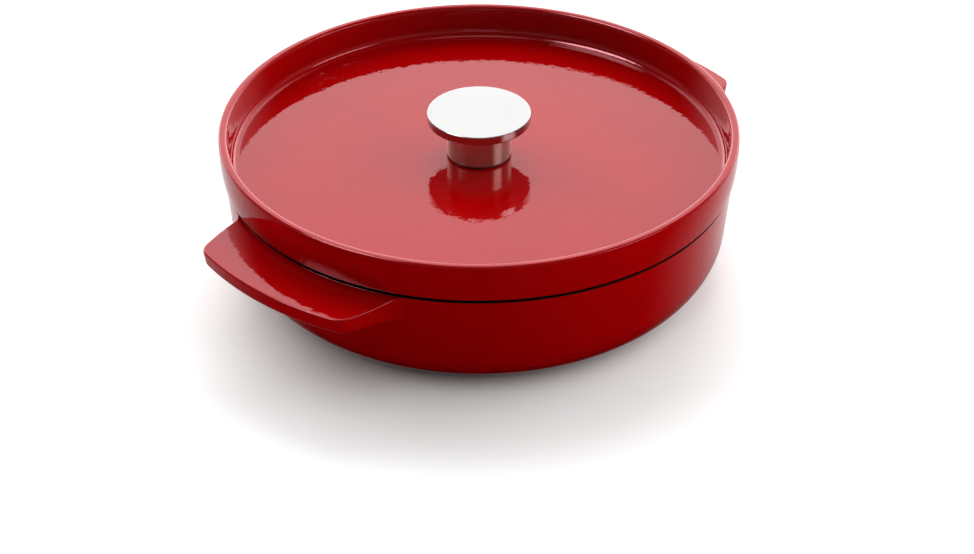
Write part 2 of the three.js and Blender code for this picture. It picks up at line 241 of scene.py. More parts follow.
@dataclass(frozen=True)
class Enamel:
    """A fired glass coat over cast iron."""

    name: str
    colour: Colour
    thin_colour: Colour
    pooled_colour: Colour
    roughness: float
    roughness_spread: float
    ripple_width: float
    ripple_height: float
    peel_width: float
    peel_height: float
    index: float = 1.52
    gloss: float = 0.5
    gloss_tint: Colour = WHITE
    cloud_width: float = 45 * MM
    edge_width: float = 6 * MM
    streak_width: float = 18 * MM
    cloud_edge: Span = (0.35, 0.75)
    thin_bends: Span = (0.15, 1.0)
    thin_shares: Span = (0.5, 1.0)
    pooling: float = 0.6

    def material(self) -> bpy.types.Material:
        """Builds the material.

        The colour wanders a little between the coat's own and its pooled colour, nears the pooled one in
        hollows, and turns to the thin colour where an edge bends outwards. The surface keeps slow ripples and
        a finer peel from the firing.

        Returns:
            The material.
        """
        material, board = new_material(self.name)
        place = board.place()
        bend = board.node("ShaderNodeAttribute", {"attribute_name": BEND_ATTRIBUTE}, None, "Fac")
        cloud = board.noise(place, self.cloud_width)
        body = board.mix(cloud.smooth_step(*self.cloud_edge), self.colour, self.pooled_colour)
        hollow = (0.0 - bend).smooth_step(0.0, 1.0)
        pooled = board.mix(hollow * self.pooling, body, self.pooled_colour)
        patches = board.noise(place, self.edge_width).between(*self.thin_shares)
        edge = bend.smooth_step(*self.thin_bends) * patches
        coat = board.mix(edge, pooled, self.thin_colour)
        ripple = board.noise(place, self.ripple_width, detail=1.0)
        peel = board.noise(place, self.peel_width, detail=1.0)
        normal = board.bump(ripple * self.ripple_height + peel * self.peel_height)
        streak = board.noise(place, self.streak_width, detail=3.0)
        board.surface(
            {
                "Base Color": coat,
                "Roughness": streak.around(self.roughness, self.roughness_spread),
                "Normal": normal,
                "IOR": self.index,
                "Specular IOR Level": self.gloss,
                "Specular Tint": self.gloss_tint,
            }
        )
        return material


@dataclass(frozen=True)
class TurnedSteel:
    """Steel with fine rings from the lathe and the brushing belt."""

    name: str
    colour: Colour
    dull_colour: Colour
    roughness: float
    anisotropy: float
    ring_width: float
    ring_height: float
    ring_spread: float = 0.06
    dull_edge: Span = (0.3, 0.8)
    smear_width: float = 14 * MM
    smear_spread: float = 0.03
    grain_turn: float = 0.25

    def material(self) -> bpy.types.Material:
        """Builds the material.

        The rings are noise along one line, read at the distance from the axis plus the height, so they run
        round a flat face and round a barrel alike. The grain turn makes reflections smear across the rings.

        Returns:
            The material.
        """
        material, board = new_material(self.name)
        place = board.place()
        height = board.node("ShaderNodeSeparateXYZ", None, {"Vector": place}, "Z")
        rings = board.node(
            "ShaderNodeTexNoise",
            {"noise_dimensions": "1D"},
            {"W": board.reach() + height, "Scale": 1.0 / self.ring_width, "Detail": 4.0, "Roughness": 0.7},
            "Fac",
        )
        smear = board.noise(place, self.smear_width, detail=3.0)
        shine = rings.around(self.roughness, self.ring_spread) + smear.around(0.0, self.smear_spread)
        board.surface(
            {
                "Base Color": board.mix(rings.smooth_step(*self.dull_edge), self.colour, self.dull_colour),
                "Metallic": 1.0,
                "Roughness": shine,
                "Anisotropic": self.anisotropy,
                "Anisotropic Rotation": self.grain_turn,
                "Normal": board.bump(rings * self.ring_height),
            }
        )
        return material


@dataclass(frozen=True)
class Silicone:
    """Heat-proof rubber, dull and dark."""

    name: str
    colour: Colour
    dusty_colour: Colour
    roughness: Span = (0.55, 0.75)
    dust_width: float = 3 * MM
    grain_width: float = 0.3 * MM
    grain_height: float = 8 * MICRON

    def material(self) -> bpy.types.Material:
        """Builds the material: a dark colour with a faint dusty cloud and a fine grain.

        Returns:
            The material.
        """
        material, board = new_material(self.name)
        place = board.place()
        dust = board.noise(place, self.dust_width, detail=3.0)
        grain = board.noise(place, self.grain_width, detail=1.0)
        board.surface(
            {
                "Base Color": board.mix(dust, self.colour, self.dusty_colour),
                "Roughness": dust.between(*self.roughness),
                "Normal": board.bump(grain * self.grain_height),
            }
        )
        return material


@dataclass(frozen=True)
class FloorPaint:
    """A matt pale paint."""

    name: str
    colour: Colour
    cloud_colour: Colour
    cloud_width: float
    roughness: float

    def material(self) -> bpy.types.Material:
        """Builds the material: a colour with faint wide clouds, and no gloss.

        Returns:
            The material.
        """
        material, board = new_material(self.name)
        cloud = board.noise(board.place(), self.cloud_width)
        board.surface(
            {
                "Base Color": board.mix(cloud, self.colour, self.cloud_colour),
                "Roughness": self.roughness,
                "Specular IOR Level": 0.0,
            }
        )
        return material


@dataclass(frozen=True)
class PaintedShadeCard:
    """Painted shade: a dull black card that stands in for the pot's shadow on the floor under it, as the
    enamel mirrors it, and fades out away from the Z axis.
    """

    name: str
    colour: Colour
    fade: Span

    def material(self) -> bpy.types.Material:
        """Builds the material: one colour, whose cover falls from 1 to 0 over the span of the fade.

        Returns:
            The material.
        """
        material, board = new_material(self.name)
        board.surface(
            {
                "Base Color": self.colour,
                "Roughness": 1.0,
                "Specular IOR Level": 0.0,
                "Alpha": 1.0 - board.reach().smooth_step(*self.fade),
            }
        )
        return material


RED_ENAMEL = Enamel(
    name="red_gloss_enamel",
    colour=(0.228, 0.0002, 0.0006, 1.0),
    thin_colour=(0.198, 0.0002, 0.0005, 1.0),
    pooled_colour=(0.213, 0.0001, 0.0004, 1.0),
    roughness=0.035,
    roughness_spread=0.015,
    ripple_width=5 * MM,
    ripple_height=72 * MICRON,
    peel_width=2 * MM,
    peel_height=22 * MICRON,
    gloss=0.8,
    gloss_tint=(1.0, 0.40, 0.45, 1.0),
)
BLACK_ENAMEL = Enamel(
    name="black_satin_enamel",
    colour=(0.012, 0.012, 0.0125, 1.0),
    thin_colour=(0.030, 0.027, 0.025, 1.0),
    pooled_colour=(0.009, 0.009, 0.0095, 1.0),
    roughness=0.36,
    roughness_spread=0.07,
    ripple_width=7 * MM,
    ripple_height=12 * MICRON,
    peel_width=0.7 * MM,
    peel_height=9 * MICRON,
)
# Real matte black rim enamel, made nearly black and almost without gloss as painted shade for the seam
# between lid and pot.
RIM_ENAMEL_AND_SEAM_SHADE = Enamel(
    name="rim_enamel_and_painted_seam_shade",
    colour=(0.002, 0.0015, 0.0015, 1.0),
    thin_colour=(0.003, 0.0025, 0.0025, 1.0),
    pooled_colour=(0.0015, 0.0015, 0.0015, 1.0),
    roughness=0.85,
    roughness_spread=0.1,
    ripple_width=4 * MM,
    ripple_height=15 * MICRON,
    peel_width=0.6 * MM,
    peel_height=8 * MICRON,
    gloss=0.02,
)
CAP_STEEL = TurnedSteel(
    name="turned_cap_steel",
    colour=(0.44, 0.435, 0.435, 1.0),
    dull_colour=(0.35, 0.345, 0.345, 1.0),
    roughness=0.18,
    anisotropy=0.5,
    ring_width=0.45 * MM,
    ring_height=0.5 * MICRON,
)
STEM_STEEL = TurnedSteel(
    name="satin_stem_steel",
    colour=(0.60, 0.52, 0.46, 1.0),
    dull_colour=(0.53, 0.45, 0.40, 1.0),
    roughness=0.24,
    anisotropy=0.88,
    ring_width=0.6 * MM,
    ring_height=0.15 * MICRON,
)
PLAIN_STEEL = TurnedSteel(
    name="plain_steel",
    colour=(0.56, 0.555, 0.55, 1.0),
    dull_colour=(0.44, 0.435, 0.43, 1.0),
    roughness=0.34,
    anisotropy=0.2,
    ring_width=0.6 * MM,
    ring_height=1.5 * MICRON,
)
DARK_SILICONE = Silicone("dark_silicone", (0.026, 0.006, 0.006, 1.0), (0.034, 0.012, 0.011, 1.0))
PALE_FLOOR = FloorPaint(
    name="pale_floor",
    colour=(0.72, 0.72, 0.72, 1.0),
    cloud_colour=(0.74, 0.74, 0.74, 1.0),
    cloud_width=0.4,
    roughness=0.9,
)


@dataclass
class Section:
    """A line in the half plane of radius and height, with how sharply it bends at each point."""

    points: Array
    bends: Array

    def joined(self, after: "Section") -> "Section":
        """Gives this line with another one after it."""
        return Section(np.concatenate([self.points, after.points]), np.concatenate([self.bends, after.bends]))

    def nearest(self, radius: float, height: float) -> int:
        """Gives the number of the point that lies nearest to a radius and height."""
        return int(np.argmin(np.hypot(*(self.points - [radius, height]).T)))

    def spread(self, columns: int) -> Array:
        """Gives each point's radius, height and bend, the same in every column."""
        return np.repeat(np.column_stack([self.points, self.bends])[:, :, None], columns, axis=2)


@dataclass(frozen=True)
class Corner:
    """A corner of a section."""

    radius: float
    height: float
    rounding: float = 0.0

    @property
    def point(self) -> Array:
        """The corner as an array."""
        return np.array([self.radius, self.height])


def crowded(count: int) -> Array:
    """Gives shares from 0 to 1, crowded towards both ends: half a turn of a circle, seen side-on."""
    return 0.5 - 0.5 * np.cos(np.linspace(0.0, np.pi, count))


def rounded_section(
    corners: Sequence[Corner],
    step: float,
    arc_step_deg: float = 9.0,
    closed: bool = False,
) -> Section:
    """Draws a section from its corners.

    A rounded corner becomes an arc that is tangent to both its sides, and that shrinks where a side is too
    short for it. A side is a straight run whose points are crowded towards its ends, so that shading changes
    only at the arcs. Corners run anticlockwise.

    Args:
        corners: The corners, in order.
        step: About how long a straight run's pieces are.
        arc_step_deg: The largest turn from one point of an arc to the next.
        closed: Whether the last corner joins the first. The ends of an open line stay sharp.

    Returns:
        The section. Bends count outwards, and a rounding of one bend unit counts as 1.
    """
    count = len(corners)
    arcs = []
    for i, corner in enumerate(corners):
        end = not closed and i in (0, count - 1)
        if end or corner.rounding == 0.0:
            arcs.append(Section(corner.point[None, :], np.zeros(1)))
            continue
        before = corners[i - 1]
        after = corners[(i + 1) % count]
        to_before = before.point - corner.point
        to_after = after.point - corner.point
        room_before = np.linalg.norm(to_before) * corner.rounding / (corner.rounding + before.rounding)
        room_after = np.linalg.norm(to_after) * corner.rounding / (corner.rounding + after.rounding)
        to_before /= np.linalg.norm(to_before)
        to_after /= np.linalg.norm(to_after)
        half = math.acos(float(np.clip(to_before @ to_after, -1.0, 1.0))) / 2
        radius = min(corner.rounding, ARC_ROOM * min(room_before, room_after) * math.tan(half))
        inwards = (to_before + to_after) / np.linalg.norm(to_before + to_after)
        middle = corner.point + inwards * radius / math.sin(half)
        first = corner.point + to_before * radius / math.tan(half) - middle
        last = corner.point + to_after * radius / math.tan(half) - middle
        turn = math.atan2(first[0] * last[1] - first[1] * last[0], first @ last)
        steps = max(2, math.ceil(abs(math.degrees(turn)) / arc_step_deg))
        angles = math.atan2(first[1], first[0]) + turn * np.linspace(0.0, 1.0, steps + 1)
        arc = middle + radius * np.stack([np.cos(angles), np.sin(angles)], axis=1)
        arcs.append(Section(arc, np.full(len(arc), math.copysign(BEND_UNIT / radius, turn))))
    drawn = arcs[0]
    for arc in arcs[1:] + ([arcs[0]] if closed else []):
        start = drawn.points[-1]
        length = float(np.linalg.norm(arc.points[0] - start))
        shares = crowded(2 + min(MOST_RUN_POINTS, math.ceil(length / step)))[1:-1]
        run = start + shares[:, None] * (arc.points[0] - start)
        drawn = drawn.joined(Section(run, np.zeros(len(run)))).joined(arc)
    return drawn


def swept_grid(rows: Array, angles: Array) -> tuple[Array, Array]:
    """Carries rows round Z: a point at radius r and angle t lies at (r cos t, r sin t), at its own height.

    Args:
        rows: Each row's radius, height and bend, by column.
        angles: The columns' angles.

    Returns:
        The grid of points and the grid of bends.
    """
    radius, height, bends = rows[:, 0], rows[:, 1], rows[:, 2]
    grid = np.stack([radius * np.cos(angles), radius * np.sin(angles), height], axis=2)
    return grid, bends


def turned_grid(section: Section, columns: int) -> tuple[Array, Array]:
    """Turns a section about Z, in even steps round the circle.

    Args:
        section: The section.
        columns: How many points lie round the circle.

    Returns:
        The grid of points and the grid of bends, with the section down its rows.
    """
    angles = np.linspace(0.0, 2 * np.pi, columns, endpoint=False)
    return swept_grid(section.spread(columns), angles)


def mesh_piece(
    name: str,
    grid: Array,
    bends: Array,
    finishes: Sequence[bpy.types.Material],
    coats: Array | None = None,
) -> bpy.types.Object:
    """Skins a grid of points that goes round Z in its columns.

    Points that fall together are welded, so a row that shrinks to the axis becomes a pole. A face that loses
    an edge becomes a triangle, and one that loses more goes.

    Args:
        name: The piece's name.
        grid: The points, rows by columns by 3, with rows anticlockwise round the section.
        bends: How sharply the surface bends at each point.
        finishes: The piece's materials.
        coats: The material slot of each row's faces.

    Returns:
        The piece, at the origin.
    """
    rows, columns = grid.shape[:2]
    keys = np.round(grid.reshape(-1, 3) / WELD_WIDTH).astype(np.int64)
    _, kept, welded = np.unique(keys, axis=0, return_index=True, return_inverse=True)
    index = welded.reshape(rows, columns)
    right = np.roll(index, -1, axis=1)
    quads = np.stack([index[:-1], right[:-1], right[1:], index[1:]], axis=2).reshape(-1, 4)
    slots = np.repeat(np.zeros(rows, int) if coats is None else coats, columns)[: len(quads)]
    same = quads == np.roll(quads, -1, axis=1)
    crossed = (quads[:, 0] == quads[:, 2]) | (quads[:, 1] == quads[:, 3])
    whole = ~same.any(axis=1) & ~crossed
    three = (same.sum(axis=1) == 1) & ~crossed
    lost = np.argmax(same[three], axis=1)
    corners = (lost[:, None] + np.array([1, 2, 3])) % 4
    triangles = np.take_along_axis(quads[three], corners, axis=1)
    mesh = bpy.data.meshes.new(name)
    mesh.from_pydata(grid.reshape(-1, 3)[kept].tolist(), [], quads[whole].tolist() + triangles.tolist())
    mesh.polygons.foreach_set("material_index", np.concatenate([slots[whole], slots[three]]).astype(np.int32))
    mesh.shade_smooth()
    attribute = mesh.attributes.new(BEND_ATTRIBUTE, "FLOAT", "POINT")
    attribute.data.foreach_set("value", np.clip(bends.reshape(-1)[kept], -1.0, 1.0).astype(np.float32))
    for finish in finishes:
        mesh.materials.append(finish)
    mesh.update()
    piece = bpy.data.objects.new(name, mesh)
    bpy.context.scene.collection.objects.link(piece)
    return piece


def seat(piece: bpy.types.Object, body: str, slot: str, *nodes: str) -> None:
    """Puts a piece on its body in place of CAD nodes, and reports it.

    Args:
        piece: The piece.
        body: The body that it rides on.
        slot: The record's material slot for the piece. Not used.
        nodes: The CAD nodes that it stands for.
    """
    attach(piece, body)
    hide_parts(*nodes)
    LOG.info("%s: %d faces on %s, for %s", piece.name, len(piece.data.polygons), body, ", ".join(nodes))


@dataclass
class PotCasting:
    """The pot with its two side handles, cast in one."""

    height: float
    rim_radius: float = 143.8 * MM
    draft_deg: float = 5.3
    wall: float = 4.4 * MM
    base: float = 4.8 * MM
    corner_radius: float = 31.6 * MM
    rim_round: float = 1.1 * MM
    foot_ring_width: float = 12 * MM
    foot_recess: float = 0.8 * MM
    handle_reach: float = 31.6 * MM
    handle_drop: float = 1 * MM
    tip_thickness: float = 10 * MM
    root_thickness: float = 14 * MM
    root_half_deg: float = 24.3
    tip_half_deg: float = 17.3
    tip_corner_radius: float = 4.5 * MM
    tip_lean_deg: float = 9.0
    top_round: float = 1 * MM
    under_round: float = 3 * MM
    root_fillet: float = 4.5 * MM
    foot_round: float = 0.6 * MM
    round_share: float = 0.4
    least_reach: float = 0.02 * MM
    reach_samples: int = 4000
    fillet_rows: int = 10
    under_rows: int = 9
    round_rows: int = 8
    side_rows: int = 12
    top_rows: int = 14
    # The bends of the root fillet, the underside, the lower edge, the side, the upper edge and the top
    handle_bends: tuple[float, ...] = (-0.3, 0.0, 0.7, 0.0, 1.0, 0.0)
    column_spans: tuple[tuple[float, float, int], ...] = (
        (0.0, 12.5, 10),
        (12.5, 28.0, 48),
        (28.0, 90.0, 34),
    )

    def __post_init__(self) -> None:
        """Works out the heights and radii that the handles and the bowl share."""
        self.draft = math.tan(math.radians(self.draft_deg))
        self.top = self.height - self.handle_drop
        self.wall_radius = self.outer_radius(self.top)
        self.handle_length = self.rim_radius + self.handle_reach - self.wall_radius

    def outer_radius(self, height: float) -> float:
        """Gives the wall's outside radius at a height."""
        return self.rim_radius - self.draft * (self.height - height)

    def inner_radius(self, height: float) -> float:
        """Gives the wall's inside radius at a height."""
        return self.outer_radius(height) - self.wall

    @staticmethod
    def stand_back(radius: float, distance: Array) -> Array:
        """Gives how far a quarter round still stands back, at a distance before its end."""
        inside = np.clip(radius - distance, 0.0, radius)
        return radius - np.sqrt(radius**2 - inside**2)

    def reach_at(self, angles: Array) -> Array:
        """Gives how far the handles stand out from the wall at each angle round the pot.

        Seen from above, a handle's half angle falls in a straight line from root to tip. The root fillet
        widens it, and the corner round narrows it. That gives the angle for each reach, and the reach for
        each angle is read back from it.

        Args:
            angles: Angles from the X axis.

        Returns:
            The reach, 0 where there is no handle.
        """
        reach = np.linspace(0.0, self.handle_length, self.reach_samples)
        half_deg = np.interp(reach, [0.0, self.handle_length], [self.root_half_deg, self.tip_half_deg])
        flare = self.stand_back(self.root_fillet, reach)
        corner = self.stand_back(self.tip_corner_radius, self.handle_length - reach)
        edge = np.radians(half_deg) + (flare - corner) / (self.wall_radius + reach)
        from_axis = np.abs((angles + np.pi / 2) % np.pi - np.pi / 2)
        return np.interp(from_axis, edge[::-1], reach[::-1], right=0.0)

    def columns(self) -> Array:
        """Works out the angles of the grid's columns, which lie closest along the handles' sides.

        Even steps over spans of a quarter circle are mirrored to a half circle and repeated.

        Returns:
            The angles from the X axis.
        """
        spans = [np.linspace(start, end, count, endpoint=False) for start, end, count in self.column_spans]
        quarter = np.radians(np.concatenate(spans))
        half = np.concatenate([quarter, np.pi - np.append(quarter, np.pi / 2)[:0:-1]])
        return np.concatenate([half, half + np.pi])

    def underside(self, reach: Array) -> Array:
        """Gives the height of a handle's underside at a distance from the wall."""
        taper = (self.tip_thickness - self.root_thickness) * reach / self.handle_length
        return self.top - (self.root_thickness + taper) - self.stand_back(self.root_fillet, reach)

    def handle_rows(self, angles: Array) -> Array:
        """Works out the wall's detour round the handles.

        In each half plane through the axis, the line leaves the wall along the root fillet, runs out under
        the handle, round its lower edge, up its side, round its upper edge and back along its flat top. Where
        a side runs aslant, its rounds are stretched so that they keep their size square to the edge.

        Args:
            angles: The columns' angles.

        Returns:
            Each row's radius, height and bend, by column, from the bottom up.
        """
        full_reach = self.reach_at(angles)
        slope = np.gradient(full_reach, angles)
        reach = np.where(full_reach < self.least_reach, 0.0, full_reach)
        stretch = np.sqrt(1.0 + (slope / (self.wall_radius + reach)) ** 2)
        top_round = np.minimum(self.top_round, self.round_share * reach / stretch)
        under_round = np.minimum(self.under_round, self.round_share * reach / stretch)
        flat_end = reach - stretch * under_round
        fillet_end = np.minimum(flat_end, self.root_fillet)

        shares = np.linspace(0.0, 1.0, self.fillet_rows)[:, None]
        fillet = shares * np.arccos(1.0 - fillet_end / self.root_fillet)
        fillet_out = self.root_fillet * (1.0 - np.cos(fillet))
        under_out = fillet_end + crowded(self.under_rows)[1:, None] * (flat_end - fillet_end)
        quarter = np.linspace(0.0, np.pi / 2, self.round_rows)[1:, None]
        low_out = reach - stretch * under_round * (1.0 - np.sin(quarter))
        low_height = self.underside(low_out) + under_round * (1.0 - np.cos(quarter))
        side_end = self.top - top_round
        side_height = low_height[-1] + crowded(self.side_rows)[1:, None] * (side_end - low_height[-1])
        turned = quarter[::-1][1:]
        edge_out = reach - stretch * top_round * (1.0 - np.sin(turned))
        edge_height = self.top - top_round * (1.0 - np.cos(turned))
        flat_out = (1.0 - crowded(self.top_rows)[:, None]) * (reach - stretch * top_round)

        out = [fillet_out, under_out, low_out, reach + 0.0 * side_height, edge_out, flat_out]
        height = [
            self.underside(fillet_out),
            self.underside(under_out),
            low_height,
            side_height,
            edge_height,
            self.top + 0.0 * flat_out,
        ]
        shown = np.clip(reach / self.root_fillet, 0.0, 1.0)
        bends = np.concatenate([bend * shown + 0.0 * rows for bend, rows in zip(self.handle_bends, out)])
        out = np.concatenate(out)
        height = np.concatenate(height)
        tip_lean = math.tan(math.radians(self.tip_lean_deg))
        lean = self.draft + (tip_lean - self.draft) * out / self.handle_length
        radius = self.wall_radius + out - lean * (self.top - height)
        return np.stack([radius, height, bends], axis=1)

    def build(self, finishes: Sequence[bpy.types.Material]) -> bpy.types.Object:
        """Builds the casting as one closed surface.

        Its section runs from the middle of the base out and up the wall, round the handles, over the rim and
        back down the inside to the middle.

        Args:
            finishes: The outside and inside enamel, and the rim enamel that also paints shade into the seam.

        Returns:
            The piece.
        """
        join = float(self.underside(np.zeros(1))[0])
        foot = self.outer_radius(0.0) - self.corner_radius * math.tan(math.radians(45 - self.draft_deg / 2))
        recess = foot - self.foot_ring_width
        below = rounded_section(
            [
                Corner(0.0, self.foot_recess),
                Corner(recess - self.foot_recess, self.foot_recess, self.foot_round),
                Corner(recess, 0.0, self.foot_round),
                Corner(self.outer_radius(0.0), 0.0, self.corner_radius),
                Corner(self.outer_radius(join), join),
            ],
            step=6 * MM,
            arc_step_deg=4.0,
        )
        rim = rounded_section(
            [
                Corner(self.wall_radius, self.top),
                Corner(self.rim_radius, self.height, self.rim_round),
                Corner(self.rim_radius - self.wall / 2, self.height),
            ],
            step=1 * MM,
            arc_step_deg=15.0,
        )
        inside = rounded_section(
            [
                Corner(self.rim_radius - self.wall / 2, self.height),
                Corner(self.rim_radius - self.wall, self.height, self.rim_round),
                Corner(self.inner_radius(self.base), self.base, self.corner_radius - self.wall),
                Corner(0.0, self.base),
            ],
            step=6 * MM,
            arc_step_deg=5.0,
        )
        angles = self.columns()
        handles = self.handle_rows(angles)
        around = [line.spread(len(angles)) for line in (below, rim, inside)]
        grid, bends = swept_grid(np.concatenate([around[0], handles, *around[1:]]), angles)
        # The black rim coat starts on the rim's outer round: real rim enamel, carried down the outside as
        # painted shade for the seam under the lid.
        seam_shade_row = len(below.points) + len(handles) + int(np.argmax(rim.bends > 0.0))
        deep = inside.points[:, 1] < self.height - self.rim_round
        coats = np.full(len(grid), Coat.OUTSIDE.value)
        coats[seam_shade_row:] = Coat.RIM_AND_SEAM_SHADE.value
        coats[-len(deep) :][deep] = Coat.INSIDE.value
        return mesh_piece("pot_casting", grid, bends, finishes, coats)


@dataclass
class LidCasting:
    """The lid: a flat plate at the bottom of a well, with a tall rim that swells outwards."""

    top: float
    pot: PotCasting
    columns: int = 288
    tall: float = 22 * MM
    overhang: float = 0.9 * MM
    flare: float = 1.3 * MM
    bulge: float = 0.75 * MM
    rim_width: float = 4.9 * MM
    rim_outer_round: float = 1.4 * MM
    rim_inner_round: float = 2.2 * MM
    skirt_round: float = 1.4 * MM
    well_depth: float = 19 * MM
    well_lean: float = 1.2 * MM
    cove_radius: float = 4.6 * MM
    plate: float = 4 * MM
    seat_width: float = 2.4 * MM
    seat_clearance: float = 0.3 * MM
    locator_depth: float = 5.8 * MM
    locator_width: float = 4 * MM
    locator_clearance: float = 1 * MM
    drip_ring_count: int = 3
    drip_ring_height: float = 1.4 * MM
    drip_ring_width: float = 6 * MM
    hole_radius: float = 3.6 * MM
    hole_round: float = 0.4 * MM
    drip_ring_round: float = 1 * MM
    locator_root_round: float = 1.5 * MM
    seat_root_round: float = 0.3 * MM
    seat_edge_round: float = 0.2 * MM
    side_points: int = 17
    side_margin: float = 0.1
    # How far into the skirt's round the black rim coat, partly painted seam shade, reaches.
    seam_shade_edge: float = 0.3

    @property
    def rim_radius(self) -> float:
        """The rim's outside radius at the top."""
        return self.pot.rim_radius + self.overhang + self.flare

    def side(self) -> list[Corner]:
        """Works out the side from the skirt edge up: a slanting line with a parabola's swell added to it.

        Returns:
            The corners between the rounds of the skirt and the rim.
        """
        shares = np.linspace(1.0 - self.side_margin, self.side_margin, self.side_points)
        radii = self.rim_radius - self.flare * shares + self.bulge * 4 * shares * (1 - shares)
        return [Corner(float(r), float(self.top - self.tall * s)) for r, s in zip(radii, shares)]

    def underside(self, plate_height: float, locator: float) -> list[Corner]:
        """Gives the plate's underside from the hole outwards, with its drip rings.

        Args:
            plate_height: The height of the plate's underside.
            locator: The inside radius of the locating ring.

        Returns:
            The corners.
        """
        low = plate_height - self.drip_ring_height
        half = self.drip_ring_width / 2
        corners = [Corner(self.hole_radius, plate_height, self.hole_round)]
        for k in range(1, self.drip_ring_count + 1):
            middle = locator / (self.drip_ring_count + 1) * k
            shape = ((-half, plate_height), (-half / 2, low), (half / 2, low), (half, plate_height))
            corners += [Corner(middle + out, height, self.drip_ring_round) for out, height in shape]
        return corners

    def build(self, finishes: Sequence[bpy.types.Material]) -> bpy.types.Object:
        """Builds the lid as one closed ring round its screw hole.

        Args:
            finishes: The outside and inside enamel, and the rim enamel that also paints shade into the seam.

        Returns:
            The piece.
        """
        rim = self.rim_radius
        skirt = self.pot.rim_radius + self.overhang
        skirt_height = self.top - self.tall
        floor = self.top - self.well_depth
        plate = floor - self.plate
        seat_height = self.pot.height + self.seat_clearance
        seat_radius = self.pot.rim_radius - self.pot.wall + self.seat_width
        locator_height = seat_height - self.locator_depth
        locator = self.pot.inner_radius(locator_height) - self.locator_clearance
        well = rim - self.rim_width
        under = [
            *self.underside(plate, locator - self.locator_width),
            Corner(locator - self.locator_width, plate, self.locator_root_round),
            Corner(locator - self.locator_width, locator_height, self.skirt_round),
            Corner(locator, locator_height, self.skirt_round),
            Corner(locator, seat_height, self.seat_root_round),
            Corner(seat_radius, seat_height, self.seat_edge_round),
            Corner(seat_radius, skirt_height, self.seat_edge_round),
        ]
        over = [
            Corner(skirt, skirt_height, self.skirt_round),
            *self.side(),
            Corner(rim, self.top, self.rim_outer_round),
            Corner(well, self.top, self.rim_inner_round),
            Corner(well - self.well_lean, floor, self.cove_radius),
            Corner(self.hole_radius, floor, self.hole_round),
        ]
        section = rounded_section(under + over, step=4 * MM, closed=True)
        # The black rim coat covers the seat and part of the skirt's round: real rim enamel, and painted shade
        # in the seam over the pot.
        cut = self.seam_shade_edge * self.skirt_round
        row = np.arange(len(section.points))
        inner = section.nearest(locator, seat_height)
        start = section.nearest(skirt - cut, skirt_height + cut)
        end = section.nearest(self.hole_radius, floor)
        coats = np.where((row > inner) & (row < start), Coat.RIM_AND_SEAM_SHADE.value, Coat.INSIDE.value)
        coats[(row >= start) & (row < end)] = Coat.OUTSIDE.value
        grid, bends = turned_grid(section, self.columns)
        return mesh_piece("lid_casting", grid, bends, finishes, coats)


@dataclass
class Knob:
    """The steel knob: a cap on a stem, with a gasket under the stem and a screw through the lid."""

    columns: int = 192
    cap_round: float = 0.5 * MM
    spigot_height: float = 2.5 * MM
    spigot_radius: float = 14.95 * MM
    spigot_round: float = 0.3 * MM
    spigot_root_round: float = 0.2 * MM
    stem_bore: float = 15.25 * MM
    stem_round: float = 0.4 * MM
    gasket_round: float = 0.2 * MM
    fastening: tuple[str, ...] = (
        "knob_screw",
        "knob_flat_washer",
        "knob_lock_washer",
        "knob_threaded_bush",
    )

    def turned(self, name: str, corners: Sequence[Corner], finish: bpy.types.Material) -> bpy.types.Object:
        """Turns a piece of the knob.

        Args:
            name: The piece's name.
            corners: Its section.
            finish: Its material.

        Returns:
            The piece.
        """
        section = rounded_section(corners, step=2 * MM, arc_step_deg=12.0, closed=corners[0].radius > 0.0)
        grid, bends = turned_grid(section, self.columns)
        return mesh_piece(name, grid, bends, [finish])

    def cap(self, finish: bpy.types.Material) -> bpy.types.Object:
        """Builds the cap: a disc with a spigot under it.

        Args:
            finish: Its material.

        Returns:
            The piece.
        """
        low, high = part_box("knob_cap")
        under = low.z + self.spigot_height
        corners = [
            Corner(0.0, low.z),
            Corner(self.spigot_radius, low.z, self.spigot_round),
            Corner(self.spigot_radius, under, self.spigot_root_round),
            Corner(high.x, under, self.cap_round),
            Corner(high.x, high.z, self.cap_round),
            Corner(0.0, high.z),
        ]
        return self.turned("knob_cap_disc", corners, finish)

    def ring(self, name: str, node: str, rounding: float, finish: bpy.types.Material) -> bpy.types.Object:
        """Builds a tube in the place of a CAD node.

        Args:
            name: The piece's name.
            node: The CAD node, which gives its outside and its height.
            rounding: The round of its edges.
            finish: Its material.

        Returns:
            The piece.
        """
        low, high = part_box(node)
        corners = [
            Corner(self.stem_bore, low.z, rounding),
            Corner(high.x, low.z, rounding),
            Corner(high.x, high.z, rounding),
            Corner(self.stem_bore, high.z, rounding),
        ]
        return self.turned(name, corners, finish)

    def dress_fastening(self, finish: bpy.types.Material) -> None:
        """Puts a finish on the fastening, whose pieces stay CAD nodes, and reports each.

        Args:
            finish: The material.
        """
        for name in self.fastening:
            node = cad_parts[name]
            node.data.materials.clear()
            node.data.materials.append(finish)
            LOG.info("%s: the CAD node, in %s", name, finish.name)


@dataclass(frozen=True)
class Lamp:
    """A round soft light far away.

    The turn is to the left of straight behind the pot. The edge is where the light starts and where it is
    full, as cosines of the angle from its middle.
    """

    turn_deg: float
    rise_deg: float
    edge: Span
    strength: float


